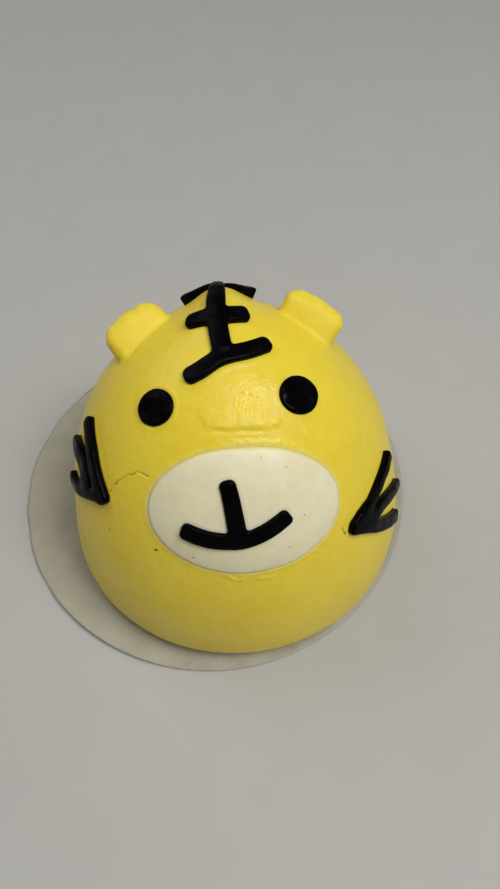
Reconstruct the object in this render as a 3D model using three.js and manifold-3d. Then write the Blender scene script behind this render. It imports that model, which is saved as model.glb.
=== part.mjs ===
// A steamed bun made as a tiger's face, on the round paper it was steamed on.
// Millimetres, +Z up. The face looks towards -Y, and the origin is the middle of the paper, on the table.
import * as THREE from 'three';
import { mergeVertices } from 'three/addons/utils/BufferGeometryUtils.js';
import Module from 'manifold-3d';

const wasm = await Module();
wasm.setup();

// Clearance kept between pieces that touch.
const GAP = 0.3;

// The paper: flat under the bun, its rim curling up a little where nothing holds it down.
const PAPER = {
  radius: 54.5,
  thickness: 0.4,
  rings: [42, 47, 51],
  curl: 1.1,
  leastCurl: 0.1,
  ripples: [
    { count: 2, phase: 0.6, height: 0.7 },
    { count: 5, phase: 0, height: 0.35 },
  ],
  segments: 48,
};

// The bun's axis stands off the middle of the paper.
const BUN_SHIFT = { x: 6.2, y: -7.9 };

// The bun: widest at the waist, a tall dome above it and a tucked-in foot below.
const BUN = {
  radius: 44,
  top: 70,
  waist: 8,
  base: PAPER.thickness + GAP,
  tuck: 9.5,
  upperPower: 1.9,
  lowerPower: 3,
  segments: 60,
  rows: 21,
  footRows: 4,
};

// Broad lumps (height over 0) and hollows (under 0) that steaming left in the dome.
const SWELLS = [
  { at: [-1.3, 14.5, 66], spread: [4.3, 7.5, 40], height: 4.4 },
  { at: [-41, 0, 22], spread: [12, 12, 12], height: -1.5 },
  { at: [41, 2, 24], spread: [12, 12, 12], height: -1.0 },
  { at: [30, -30, 14], spread: [14, 14, 12], height: 0.4 },
  { at: [-30, -28, 14], spread: [14, 14, 12], height: 0.4 },
];

// How far each kind of mark stands above the dome, and how far it is pressed in.
const RELIEF = {
  muzzle: { up: 1.3, down: 1.8 },
  eye: { up: 1.0, down: 1.2 },
  stripe: { up: 1.3, down: 0.9 },
  whisker: { up: 1.6, down: 0.9 },
  mouth: { up: 1.2, down: 0.6 },
};

// Spots on the dome: azimuth from the front towards +X, lift above the waist, and turn, in degrees.
const MUZZLE = {
  spot: { azimuth: 6.4, lift: 56, turn: 0.1 },
  halfWidth: 21.1, halfHeight: 14.2, sides: 36, rings: 12, power: 4,
};
const EYES = [
  { name: 'eye_left', spot: { azimuth: -53.4, lift: 72.2 }, halfWidth: 4.25, halfHeight: 3.9 },
  { name: 'eye_right', spot: { azimuth: 58.2, lift: 73 }, halfWidth: 4.6, halfHeight: 4.1 },
];

// Marks are strips of dough. Each path runs across and up its mark, from the mark's own spot.
const MOUTH = {
  spot: { azimuth: 2, lift: 55.2 },
  strips: [
    { path: [[-10.9, -1.6], [-5.2, -3.6], [0.9, -4], [5.8, -2.3], [10.6, 0.8]], width: [3.7, 3.5] },
    { path: [[-1.6, 8.9], [-0.7, 4.7], [0.6, -5.1]], width: [3.2, 3.8] },
  ],
};
const FOREHEAD = {
  spot: { azimuth: -155.6, lift: 87.1 },
  strips: [
    { path: [[-6.7, -10.4], [-3.4, -9.1], [0.5, -6.6], [6.2, -4.5], [10.7, -1.8]], width: [3.7, 3.7] },
    { path: [[-7.3, 3.6], [-2.2, 3.2], [1.5, 3.5], [6.3, 5.3]], width: [3.7, 4.1] },
    { path: [[-0.3, 15], [-4.4, 15.3], [-8.9, 15.2], [-12.6, 15.6]], width: [2.6, 2.8], thicker: [0, 1] },
    { path: [[0.3, 15], [4.2, 16.5], [6.2, 17], [11.1, 19]], width: [2.6, 2.6], thicker: [0, 1.2] },
    { path: [[1.3, -6.4], [0.1, -0.2], [-0.5, 5.1], [-0.9, 16]], width: [4.1, 3.8], thicker: [0.4, 0.4] },
  ],
};
const CHEEKS = [
  {
    name: 'cheek_mark_left',
    spot: { azimuth: -60.3, lift: 48.5 },
    strips: [
      { path: [[3.6, -4.5], [2, -0.9], [-0.6, 4.5], [-1.7, 6.7], [-6.2, 13.2]], width: [3.4, 3.1] },
      { path: [[-1.5, -3.9], [-3, 0.2], [-7.5, 4.4], [-14.1, 7.3]], width: [6, 3.1] },
      { path: [[3.1, -2.9], [-6.5, -3.6], [-11.3, -2.8], [-15.2, -1]], width: [3.2, 2.6] },
    ],
  },
  {
    name: 'cheek_mark_right',
    spot: { azimuth: 56.3, lift: 38.7 },
    strips: [
      { path: [[-7.5, -3.8], [-4.2, -0.9], [2.2, 5.1], [8.8, 10.1]], width: [2.4, 3.1] },
      { path: [[-4.8, 0], [-2.7, -2.4], [4.6, -0.3], [16.4, 1.2]], width: [3.9, 2.6] },
      { path: [[-8, -3.1], [-2, -4.3], [3, -5.5], [9.9, -6.6], [15.3, -6.8]], width: [3.2, 3.4] },
    ],
  },
];

// Ears: chunky tabs. The bearing is the way their width runs, seen from above. Flare, lean and tilt
// are slopes: how the sides spread, how far they lean across, and how much the top edge climbs.
const EARS = [
  {
    name: 'ear_left',
    spot: { azimuth: -122.2, lift: 66.8 }, bearing: 29.5,
    width: 14.2, depth: 5.7, height: 4.4, arch: 1.85,
    flare: -0.07, lean: -0.03, tilt: -0.05,
  },
  {
    name: 'ear_right',
    spot: { azimuth: 127.1, lift: 66.6 }, bearing: -19.7,
    width: 14.8, depth: 5.8, height: 5.14, arch: 1.35,
    flare: 0.05, lean: -0.08, tilt: 0.07,
  },
];
const EAR_SHAPE = { root: 3.5, frontSlope: 0.24, outlinePower: 6, edgePower: 3, sides: 26, rings: 10 };

// Strips: squareness of the section and of the ends, and how finely they are drawn.
const STRIP = { sectionPower: 2.8, endPower: 6, sides: 8, rows: 15 };

// Length of one step when a mark is laid over the dome, and how far apart the slope is felt.
const WALK_STEP = 2;
const PROBE = 0.05;

// Lengths under this count as nothing, and corners closer than this are one corner.
const TINY = 1e-6;
const WELD = 1e-4;

const WAIST_CENTRE = new THREE.Vector3(0, 0, BUN.waist);
const UP_THE_FACE = new THREE.Vector3(0, 1, 1).normalize();

const signedPower = (value, power) => Math.sign(value) * Math.abs(value) ** power;
const radians = (degrees) => THREE.MathUtils.degToRad(degrees);

// Distance from the waist's centre to the smooth dome, before lumps and hollows.
function smoothReach(direction) {
  const out = Math.hypot(direction.x, direction.y);
  const above = direction.z >= 0;
  const rise = above ? BUN.top - BUN.waist : BUN.tuck;
  const power = above ? BUN.upperPower : BUN.lowerPower;
  return ((out / BUN.radius) ** power + (Math.abs(direction.z) / rise) ** power) ** (-1 / power);
}

function swellHeight(point, { at, spread, height }) {
  const x = (point.x - at[0]) / spread[0];
  const y = (point.y - at[1]) / spread[1];
  const z = (point.z - at[2]) / spread[2];
  return height * Math.exp(-(x * x + y * y + z * z) / 2);
}

function reach(direction) {
  const smooth = smoothReach(direction);
  const point = WAIST_CENTRE.clone().addScaledVector(direction, smooth);
  return SWELLS.reduce((sum, swell) => sum + swellHeight(point, swell), smooth);
}

// Moves a point straight out from, or in to, the waist's centre until it lies on the dome.
function onDome(point) {
  const direction = point.clone().sub(WAIST_CENTRE).normalize();
  return direction.clone().multiplyScalar(reach(direction)).add(WAIST_CENTRE);
}

function heightOver(point) {
  const offset = point.clone().sub(WAIST_CENTRE);
  const length = offset.length();
  return length - reach(offset.divideScalar(length));
}

function domeNormal(point) {
  const slope = ['x', 'y', 'z'].map((axis) => {
    const ahead = point.clone();
    const behind = point.clone();
    ahead[axis] += PROBE;
    behind[axis] -= PROBE;
    return heightOver(ahead) - heightOver(behind);
  });
  return new THREE.Vector3(...slope).normalize();
}

// The point of the dome at a spot, with the directions across and up the face there.
function standAt({ azimuth, lift, turn = 0 }) {
  const around = radians(azimuth);
  const above = radians(lift);
  const level = Math.cos(above);
  const heading = new THREE.Vector3(Math.sin(around) * level, -Math.cos(around) * level, Math.sin(above));
  const origin = onDome(heading.add(WAIST_CENTRE));
  const normal = domeNormal(origin);
  const up = UP_THE_FACE.clone().addScaledVector(normal, -UP_THE_FACE.dot(normal)).normalize();
  up.applyAxisAngle(normal, radians(turn));
  const across = up.clone().cross(normal);
  return { origin, normal, up, across };
}

// Walks over the dome from a stand, so far across and so far up, and returns where that ends.
function walk(stand, across, up) {
  const length = Math.hypot(across, up);
  const point = stand.origin.clone();
  const normal = stand.normal.clone();
  if (length === 0) {
    return { point, normal };
  }
  const heading = stand.across.clone().multiplyScalar(across / length);
  heading.addScaledVector(stand.up, up / length);
  const steps = Math.ceil(length / WALK_STEP);
  for (let step = 0; step < steps; step += 1) {
    point.copy(onDome(point.addScaledVector(heading, length / steps)));
    normal.copy(domeNormal(point));
    heading.addScaledVector(normal, -heading.dot(normal)).normalize();
  }
  return { point, normal };
}

function toManifold(geometry) {
  const bare = geometry.clone();
  bare.deleteAttribute('normal');
  bare.deleteAttribute('uv');
  const merged = mergeVertices(bare, WELD);
  return new wasm.Manifold(new wasm.Mesh({
    numProp: 3,
    vertProperties: new Float32Array(merged.attributes.position.array),
    triVerts: new Uint32Array(merged.index.array),
  }));
}

function toGeometry(manifold) {
  const { vertProperties, triVerts } = manifold.getMesh();
  const geometry = new THREE.BufferGeometry();
  geometry.setAttribute('position', new THREE.BufferAttribute(vertProperties.slice(), 3));
  geometry.setIndex(new THREE.BufferAttribute(triVerts.slice(), 1));
  geometry.computeVertexNormals();
  return geometry;
}

// Moves every vertex of a geometry to where the given function sends it.
function reshape(geometry, move) {
  const { position } = geometry.attributes;
  const vertex = new THREE.Vector3();
  for (let index = 0; index < position.count; index += 1) {
    vertex.fromBufferAttribute(position, index);
    const moved = move(vertex);
    position.setXYZ(index, moved.x, moved.y, moved.z);
  }
  return geometry;
}

// Lays a flat solid (x across, y up the face, z away from the dough) over the dome.
function drape(flat, spot, lift = 0) {
  const stand = standAt(spot);
  return reshape(flat, (vertex) => {
    const { point, normal } = walk(stand, vertex.x, vertex.y);
    return point.addScaledVector(normal, vertex.z + lift);
  });
}

// A flat oval pat of dough with rounded edges.
function pat({ halfWidth, halfHeight, sides = 20, rings = 9, power = 3 }, { up, down }, grow) {
  const ball = new THREE.SphereGeometry(1, sides, rings);
  ball.rotateX(Math.PI / 2);
  return reshape(ball, ({ x, y, z }) => {
    const out = Math.min(Math.hypot(x, y), 1);
    const thickness = (z > 0 ? up : down) + grow;
    const height = Math.sign(z) * thickness * (1 - out ** power) ** (1 / power);
    return new THREE.Vector3(x * (halfWidth + grow), y * (halfHeight + grow), height);
  });
}

// A rolled strip of dough pressed flat: a ball drawn out along a curve.
function strip({ path, width, thicker = [0, 0] }, { up, down }, grow) {
  const curve = new THREE.SplineCurve(path.map(([across, high]) => new THREE.Vector2(across, high)));
  const ball = new THREE.SphereGeometry(1, STRIP.sides, STRIP.rows);
  return reshape(ball, ({ x, y, z }) => {
    const along = THREE.MathUtils.clamp(y, -1, 1);
    const ring = Math.hypot(x, z);
    const taper = (1 - Math.abs(along) ** STRIP.endPower) ** (1 / STRIP.endPower);
    const side = ring > TINY ? signedPower(x / ring, 2 / STRIP.sectionPower) : 0;
    const rise = ring > TINY ? signedPower(z / ring, 2 / STRIP.sectionPower) : 0;
    const station = (along + 1) / 2;
    const point = curve.getPointAt(station);
    const tangent = curve.getTangentAt(station);
    point.addScaledVector(tangent, along * grow);
    const sideways = side * taper * (THREE.MathUtils.lerp(...width, station) / 2 + grow);
    const thickness = (rise > 0 ? up + THREE.MathUtils.lerp(...thicker, station) : down) + grow;
    return new THREE.Vector3(
      point.x + tangent.y * sideways,
      point.y - tangent.x * sideways,
      rise * taper * thickness,
    );
  });
}

// A mark's strips pressed into one, laid over the dome.
function stripedMark({ spot, strips }, relief, grow = 0, lift = 0) {
  const pieces = strips.map((one) => toManifold(strip(one, relief, grow)));
  const joined = wasm.Manifold.union(pieces);
  return toManifold(drape(toGeometry(joined), spot, lift));
}

function patMark(shape, relief, grow = 0) {
  return toManifold(drape(pat(shape, relief, grow), shape.spot));
}

// How wide the foot is, so far below the waist.
function footRadius(below) {
  const { radius, tuck, lowerPower } = BUN;
  return radius * (1 - (below / tuck) ** lowerPower) ** (1 / lowerPower);
}

// The dough without its marks: a turned profile, then lumps and hollows. Growing it gives clearance.
function doughBall(grow = 0) {
  const base = BUN.base - grow;
  const depth = BUN.waist - base;
  const sinkAngle = Math.asin(depth / BUN.tuck);
  const profile = [new THREE.Vector2(0, base), new THREE.Vector2(footRadius(depth) / 2, base)];
  for (let row = 0; row < BUN.footRows; row += 1) {
    const below = BUN.tuck * Math.sin(sinkAngle * (1 - row / BUN.footRows));
    profile.push(new THREE.Vector2(footRadius(below), BUN.waist - below));
  }
  for (let row = 0; row <= BUN.rows; row += 1) {
    const angle = (Math.PI / 2) * (row / BUN.rows);
    const radius = row === BUN.rows ? 0 : BUN.radius * Math.cos(angle) ** (2 / BUN.upperPower);
    const height = (BUN.top - BUN.waist) * Math.sin(angle) ** (2 / BUN.upperPower);
    profile.push(new THREE.Vector2(radius, BUN.waist + height));
  }
  const turned = new THREE.LatheGeometry(profile, BUN.segments);
  turned.rotateX(Math.PI / 2);
  return toManifold(reshape(turned, (vertex) => {
    if (vertex.z <= base + TINY) {
      return vertex;
    }
    const direction = vertex.clone().sub(WAIST_CENTRE).normalize();
    const swollen = reach(direction) - smoothReach(direction) + grow;
    return vertex.clone().addScaledVector(direction, swollen);
  }));
}

// A chunky tab with rounded corners, arched along its outer edge, seated on the dome.
function ear({ spot, bearing, width, depth, height, arch, flare, lean, tilt }) {
  const { root, frontSlope, outlinePower, edgePower, sides, rings } = EAR_SHAPE;
  const halfHeight = (height + root) / 2;
  const ball = new THREE.SphereGeometry(1, sides, rings);
  const { origin, normal } = standAt(spot);
  const along = new THREE.Vector3(Math.cos(radians(bearing)), Math.sin(radians(bearing)), 0);
  along.addScaledVector(normal, -along.dot(normal)).normalize();
  const back = normal.clone().cross(along);
  const block = reshape(ball, ({ x, y, z }) => {
    const outline = Math.abs(x) ** outlinePower + Math.abs(z) ** outlinePower;
    const size = (outline ** (edgePower / outlinePower) + Math.abs(y) ** edgePower) ** (-1 / edgePower);
    const across = x * size;
    const rise = z * size * halfHeight + (height - root) / 2;
    const share = Math.max(rise, 0) / height;
    const sideways = across * (width / 2) * (1 + flare * (share - 1));
    const behind = y * size;
    const leanBack = Math.max(-behind, 0) * frontSlope * share * height;
    const point = origin.clone();
    point.addScaledVector(along, sideways + lean * rise);
    point.addScaledVector(back, behind * (depth / 2) + leanBack);
    point.addScaledVector(normal, rise + share * (arch * (1 - across * across) + tilt * sideways));
    return point;
  });
  return toManifold(block);
}

// The paper disc: the same wave on both faces, so that it keeps its thickness.
function paperLiner() {
  const { radius, thickness, rings, curl, leastCurl, ripples, segments } = PAPER;
  const [flatRadius] = rings;
  const radii = [0, ...rings, radius];
  const under = radii.map((out) => new THREE.Vector2(out, 0));
  const over = radii.map((out) => new THREE.Vector2(out, thickness)).reverse();
  const disc = new THREE.LatheGeometry([...under, ...over], segments);
  disc.rotateX(Math.PI / 2);
  return reshape(disc, ({ x, y, z }) => {
    const out = Math.max(Math.hypot(x, y) - flatRadius, 0) / (radius - flatRadius);
    const around = Math.atan2(y, x);
    const waves = ripples.map(({ count, phase, height }) => height * Math.sin(count * around + phase));
    const lift = waves.reduce((sum, wave) => sum + wave, curl);
    const rise = Math.max(lift, leastCurl) * out ** 2;
    return new THREE.Vector3(x, y, z + rise);
  });
}

const dough = new THREE.MeshStandardMaterial({ color: '#dcc348', roughness: 0.45, metalness: 0 });
const paleDough = new THREE.MeshStandardMaterial({ color: '#ddd6b8', roughness: 0.45, metalness: 0 });
const blackDough = new THREE.MeshStandardMaterial({ color: '#0b0b0e', roughness: 0.4, metalness: 0 });
const paper = new THREE.MeshStandardMaterial({ color: '#cfccc2', roughness: 0.8, metalness: 0 });

function piece(name, manifold, material) {
  const mesh = new THREE.Mesh(toGeometry(manifold), material);
  mesh.name = name;
  return mesh;
}

function makeBun() {
  const bun = new THREE.Group();
  bun.position.set(BUN_SHIFT.x, BUN_SHIFT.y, 0);

  const pockets = [
    patMark(MUZZLE, RELIEF.muzzle, GAP),
    ...EYES.map((eye) => patMark(eye, RELIEF.eye, GAP)),
    stripedMark(FOREHEAD, RELIEF.stripe, GAP),
    ...CHEEKS.map((mark) => stripedMark(mark, RELIEF.whisker, GAP)),
  ];
  bun.add(piece('bun_body', doughBall().subtract(wasm.Manifold.union(pockets)), dough));

  const mouthBed = stripedMark(MOUTH, RELIEF.mouth, GAP, RELIEF.muzzle.up);
  bun.add(piece('muzzle', patMark(MUZZLE, RELIEF.muzzle).subtract(mouthBed), paleDough));
  bun.add(piece('mouth', stripedMark(MOUTH, RELIEF.mouth, 0, RELIEF.muzzle.up), blackDough));

  EYES.forEach((eye) => bun.add(piece(eye.name, patMark(eye, RELIEF.eye), blackDough)));
  bun.add(piece('forehead_mark', stripedMark(FOREHEAD, RELIEF.stripe), blackDough));
  CHEEKS.forEach((mark) => bun.add(piece(mark.name, stripedMark(mark, RELIEF.whisker), blackDough)));

  const headRoom = doughBall(GAP);
  EARS.forEach((one) => bun.add(piece(one.name, ear(one).subtract(headRoom), dough)));
  return bun;
}

const tigerBun = new THREE.Group();
tigerBun.add(makeBun());
tigerBun.add(piece('paper_liner', toManifold(paperLiner()), paper));

export default tigerBun;
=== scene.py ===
"""The looks of a steamed bun made as a tiger's face, on its round sheet of steaming paper."""

import math
from itertools import product

import bmesh
import bpy
import numpy as np
from bpy.props import FloatProperty, FloatVectorProperty, PointerProperty
from mathutils import Matrix, Vector
from mathutils.kdtree import KDTree


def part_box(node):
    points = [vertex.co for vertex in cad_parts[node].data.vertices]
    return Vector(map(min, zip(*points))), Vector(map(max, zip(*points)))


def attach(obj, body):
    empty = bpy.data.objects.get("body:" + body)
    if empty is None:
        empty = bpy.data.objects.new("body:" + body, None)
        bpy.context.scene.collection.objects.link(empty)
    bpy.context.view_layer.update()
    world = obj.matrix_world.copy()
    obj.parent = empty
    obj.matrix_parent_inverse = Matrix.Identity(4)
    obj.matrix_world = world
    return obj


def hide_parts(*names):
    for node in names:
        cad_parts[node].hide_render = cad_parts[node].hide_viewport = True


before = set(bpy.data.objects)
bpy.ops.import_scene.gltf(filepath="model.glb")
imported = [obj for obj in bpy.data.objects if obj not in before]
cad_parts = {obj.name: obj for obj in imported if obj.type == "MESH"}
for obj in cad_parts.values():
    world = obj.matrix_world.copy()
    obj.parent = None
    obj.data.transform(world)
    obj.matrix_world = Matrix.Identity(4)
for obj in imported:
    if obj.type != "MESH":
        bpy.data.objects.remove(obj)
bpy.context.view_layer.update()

bl_info = {
    "name": "Tiger face bun",
    "version": (1, 0, 0),
    "blender": (4, 5, 0),
    "location": "3D View > Sidebar > Bun",
    "description": "Shapes a steamed bun with a tiger's face, piece by piece, on its paper",
    "category": "Add Mesh",
}

# Plain numbers below are millimetres and degrees, measured from the bun's axis on the table.
# Properties are in metres, as Blender shows them.
MM = 0.001
BODY = "root"

# The bun's axis stands off the middle of the paper.
BUN_SHIFT = np.array([6.2, -7.9, 0.0])

# Broad lumps (height over 0) and hollows (under 0) that steaming left in the dome.
SWELLS = [
    dict(at=(-1.3, 14.5, 66), spread=(4.3, 7.5, 40), height=4.4),
    dict(at=(-41, 0, 22), spread=(12, 12, 12), height=-1.5),
    dict(at=(41, 2, 24), spread=(12, 12, 12), height=-1.0),
    dict(at=(30, -30, 14), spread=(14, 14, 12), height=0.4),
    dict(at=(-30, -28, 14), spread=(14, 14, 12), height=0.4),
]
UNEVEN = dict(height=0.05, size=17, seed=3)

# How far each kind of mark stands above the dome, and how far it is pressed in.
RELIEF = dict(
    muzzle=(1.3, 1.0),
    eye=(0.8, 0.8),
    stripe=(1.3, 0.7),
    whisker=(1.6, 0.7),
    mouth=(1.0, 0.6),
)

# Spots on the dome: azimuth from the front towards +X, lift above the waist, and turn.
MUZZLE = dict(spot=(6.4, 56, 0.1), half_size=(21.1, 14.2))
EYES = [
    dict(
        name="left",
        spot=(-53.4, 72.2),
        half_size=(4.25, 3.9),
        dent=dict(at=(0.2, -1.1), spread=(2.3, 1.7), depth=0.25),
    ),
    dict(
        name="right",
        spot=(58.2, 73),
        half_size=(4.6, 4.1),
        dent=dict(at=(0.5, -1.2), spread=(2.6, 1.5), depth=0.42),
    ),
]

# How a pat is finished: the rounding of its edge, how much lower its rim is than its middle, how
# uneven its outline is, and how much wider it is drawn, since its rounded edge dips into the dome.
MUZZLE_FORM = dict(edge=1.05, crown=0.92, ruffle=0.12, wider=0.15)
EYE_FORM = dict(edge=0.6, crown=0.1, ruffle=0.05)

# Marks are strips of dough. Each path runs across and up its mark, from the mark's own spot. The
# corners of a strip's ends are rounded, and the notches where strips meet are fused.
MOUTH = dict(
    spot=(2, 55.2),
    corner=1.2,
    strips=[
        dict(
            path=[(-10.9, -1.6), (-5.2, -3.6), (0.9, -4), (5.8, -2.3), (10.6, 0.8)],
            width=(3.7, 3.5),
        ),
        dict(path=[(-1.6, 8.9), (-0.7, 4.7), (0.6, -5.1)], width=(3.2, 3.8)),
    ],
)
FOREHEAD = dict(
    spot=(-155.6, 87.1),
    corner=1.5,
    strips=[
        dict(
            path=[(-6.7, -10.4), (-3.4, -9.1), (0.5, -6.6), (6.2, -4.5), (10.7, -1.8)],
            width=(3.7, 3.7),
        ),
        dict(path=[(-7.3, 3.6), (-2.2, 3.2), (1.5, 3.5), (6.3, 5.3)], width=(3.7, 4.1)),
        dict(
            path=[(-0.5, 15.6), (-4.4, 15.7), (-8.9, 15.5), (-12.6, 15.8)],
            width=(1.5, 2.5),
            thicker=(-0.6, 1),
        ),
        dict(
            path=[(0.5, 15.8), (4.2, 17.1), (6.2, 17.3), (11.1, 19.3)],
            width=(1.6, 2.1),
            thicker=(-0.6, 1.3),
        ),
        dict(
            path=[(1.3, -6.4), (0.1, -0.2), (-0.5, 5.1), (-0.9, 16)],
            width=(4, 3.7),
            thicker=(0.2, 0),
        ),
    ],
)
CHEEKS = [
    dict(
        name="left",
        spot=(-60.3, 48.5),
        corner=1.4,
        fuse=1.6,
        strips=[
            dict(
                path=[(3.6, -4.5), (2, -0.9), (-0.6, 4.5), (-1.7, 6.7), (-6.2, 13.2)],
                width=(3.4, 2.9),
            ),
            dict(path=[(-5.1, -2.2), (-3.4, 0.6), (-7.5, 4.4), (-14.1, 7.3)], width=(4.7, 3.1)),
            dict(path=[(3.1, -2.9), (-6.5, -3.6), (-11.3, -2.8), (-15.2, -1)], width=(3, 2.4)),
        ],
    ),
    dict(
        name="right",
        spot=(56.3, 38.7),
        corner=0.9,
        fuse=1.6,
        strips=[
            dict(path=[(-7.5, -3.8), (-4.2, -0.9), (2.2, 5.1), (8.8, 10.1)], width=(2, 3)),
            dict(path=[(-5.1, 0.4), (-2.7, -2.4), (4.6, -0.3), (16.4, 1.2)], width=(3.9, 2.5)),
            dict(
                path=[(-8, -3.1), (-2, -4.3), (3, -5.5), (9.9, -6.6), (15.3, -6.8)],
                width=(3.2, 3.4),
            ),
        ],
    ),
]

# Ears: chunky tabs. The bearing is the way their width runs, seen from above. Lean and tilt are
# slopes: how far the sides lean across, and how much the top edge climbs. Flare is how much wider
# the top is than the foot.
EARS = [
    dict(
        name="left", spot=(-122.2, 66.8), bearing=29.5, width=14.2, depth=5.7,
        height=4.4, arch=1.85, flare=-0.07, lean=-0.03, tilt=-0.05,
    ),
    dict(
        name="right", spot=(127.1, 66.6), bearing=-19.7, width=14.8, depth=5.8,
        height=5.14, arch=1.35, flare=0.05, lean=-0.08, tilt=0.07,
    ),
]

# What steaming did to the yellow skin, across and up from one spot in the muzzle.
FACE = (6.9, 56, -2.5)
# The crack's groove is darkened with painted shade, fainter towards its far end.
CRACK = dict(
    path=[
        (-32.4, 0.4), (-31.5, 1.6), (-30.5, 2.7), (-29, 4.1), (-27.4, 5.3),
        (-25.8, 6.2), (-24.2, 7), (-23.4, 7.2), (-22.2, 6.7), (-21.2, 6.5),
    ],
    wander=dict(wobble=0.2, seed=5),
    spread=0.17,
    depth=0.3,
    dark=0.68,
    fainter=0.3,
    usual=0.65,
    least=0.15,
    opening=dict(height=0.5, size=2.2, seed=9),
)
# A short tear, its groove darkened with painted shade.
TEAR = dict(path=[(22.3, -6.6), (22.9, -7.6), (23.5, -8.6)], spread=0.2, depth=0.2, dark=0.5)

# The skin between the eyes has sunk into a flat step, the terrace. A crease fades over its spread,
# or over its inner reach on the side that faces the terrace.
TERRACE = (-1.5, 22)
CREASES = [
    dict(
        path=[
            (-9.6, 22.5), (-9.2, 20), (-7.9, 18.4), (-4, 18),
            (0, 18.2), (4.1, 18.4), (6, 18.7), (6.6, 20.2),
        ],
        height=0.36,
        spread=0.6,
        inner=3.2,
    ),
    dict(path=[(5, 18.3), (6, 18.8), (6.4, 19.9)], height=0.3, spread=0.5),
    dict(path=[(-9.9, 16.9), (-6, 17.3), (-1.8, 17.4), (3.6, 17.1)], height=-0.24, spread=0.4),
    dict(
        path=[(-3.4, 16.3), (-2.7, 16.4), (0, 16.6), (3.6, 16.6), (4.4, 16.5)],
        height=0.16,
        spread=0.3,
    ),
    dict(
        path=[(10.9, 19.4), (11.3, 18.4), (12.5, 16.5), (13.5, 14.4), (13.8, 12.6)],
        height=0.3,
        spread=0.8,
    ),
    dict(path=[(-9, 14.8), (-4, 15.2), (2, 15.2), (8, 14.5), (12, 12.8)], height=0.1, spread=0.5),
    dict(
        path=[(-5.4, -14.7), (-4.6, -14.9), (-3.2, -15.6), (-1.9, -16.2), (-1, -16.5)],
        height=0.28,
        spread=0.35,
    ),
    dict(
        path=[(-1.6, -16.8), (-1.2, -16.5), (-0.3, -15.9), (0.6, -15.2), (1, -14.9)],
        height=0.22,
        spread=0.3,
    ),
    dict(
        path=[(1.4, -16), (2.2, -15.9), (4.5, -15.8), (7.2, -15.8), (8, -15.7)],
        height=0.24,
        spread=0.45,
    ),
    dict(path=[(12.4, -14.4), (15, -12.9), (17.4, -10.8)], height=0.14, spread=0.5),
]

# Every crease wanders a little, fades towards its ends, and comes and goes about a usual share of
# its height.
CREASE_WOBBLE = 0.1
CREASE_ENDS = 4.5
CREASE_USUAL = 0.8
CREASE_COMES = dict(height=0.35, size=3, seed=0)

# Beads of dough that were pushed up beside the muzzle.
BEADS = dict(
    spots=[
        (-1.8, 14.9), (2.6, 15.1), (6.3, 14.9), (9.7, 14),
        (7.6, -14.9), (9.1, -14.4), (10.7, -13.6), (12.3, -13.1), (14.5, -12.5),
    ],
    height=0.13,
    spread=0.34,
)

# A rubbed patch on the terrace, rough with two grains, and the grid of points round which the
# head's faces are finer.
SCUFF = dict(
    middle=(0, 23),
    radius=2.9,
    sharpness=6,
    ragged=dict(height=0.16, size=2.4, seed=23),
    height=0.03,
    grains=[dict(height=1, size=0.8, seed=21), dict(height=0.6, size=0.4, seed=22)],
    patch=dict(half=2.5, ticks=11),
)
# Pits sunk in the rubbed patch, darkened with painted shade.
PITS = dict(
    spots=[(-1.2, 25), (0.3, 24.7), (0.8, 24.5), (2, 24.2), (-10.8, 24)],
    spread=0.24,
    depth=0.12,
    dark=0.14,
)
SPECKS = [
    dict(at=(-19.7, -10.6), size=(0.95, 0.5)),
    dict(at=(-32.8, -9.6), size=(0.46, 0.4)),
    dict(at=(23.3, -8.1), size=(0.26, 0.24)),
    dict(at=(2.2, 12.2), size=(0.2, 0.18)),
    dict(at=(7.2, 10), size=(0.28, 0.24)),
    dict(at=(11.4, -0.4), size=(0.22, 0.22)),
    dict(at=(8.6, -7.4), size=(0.26, 0.2)),
    dict(at=(-10.8, -9.7), size=(0.36, 0.28)),
]

# Specks are flat, uneven grains. One lies on the muzzle when it is this far inside its edge.
SPECK_HALF_THICKNESS = 0.07
SPECK_UNEVEN = dict(height=0.25, size=2.5, seed=40)
SPECK_MARGIN = 1

# Where the dough meets a mark: a groove at the edge, and a low swell beside it, a little less of
# both round the mouth. Along the muzzle's rim the seam has painted shade, and each dough has
# painted light scattered in from the other.
RIM = dict(groove=0.05, groove_spread=0.3, swell=0.11, swell_at=0.5, swell_spread=0.55)
MOUTH_RIM_SHARE = 0.8
MUZZLE_RIM_SHADE = dict(dark=0.14, spread=0.2)
HEAD_SCATTERED_LIGHT = dict(share=0.4, spread=0.45)
MUZZLE_SCATTERED_LIGHT = dict(share=0.65, spread=0.7)

# The ear's skirt is the skin that it brings along where it runs into the head. Its face is fullest
# at this share of its height.
EAR_FULLEST = 0.4
EAR_SKIRT = dict(reach=11.5, lift=0.03, depth=1.5)
EAR_RAGGED = dict(height=0.17, size=3.2, seed=51)

# The paper's rim waves: how many go round, how high each is, and where it starts.
RIPPLES = [(2, 0.7, 0.6), (5, 0.35, 0)]
COCKLES = [dict(height=0.25, size=13, seed=31), dict(height=0.1, size=5, seed=32)]

# How steamed dough takes the light: how much and how far, in metres, it goes in, and its gloss.
DOUGH_LIGHT = {
    "Subsurface Weight": 0.35,
    "Subsurface Radius": (1.0, 0.72, 0.3),
    "Subsurface Scale": 0.0022,
    "IOR": 1.42,
    "Specular IOR Level": 0.5,
}

# The stage, in metres: a floor that is flat and then sweeps up like a shallow bowl, and square
# lights that face a point in the bun. Only the camera's sensor is in millimetres.
FLOOR = dict(middle=0.2, flat=0.42, reach=1.7, height=1.3, drop=0.00002, rings=16, sides=72)
LIGHTS = dict(
    key=dict(place=(0.36, -0.2, 0.78), size=0.36),
    top=dict(place=(0.08, -0.2, 0.85), size=0.42),
    side=dict(place=(-0.44, 0.32, 0.62), size=0.6),
)
LIT_POINT = Vector((0, 0, 0.03))
SENSOR = 36
NEAREST_SEEN = 0.005

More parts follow.
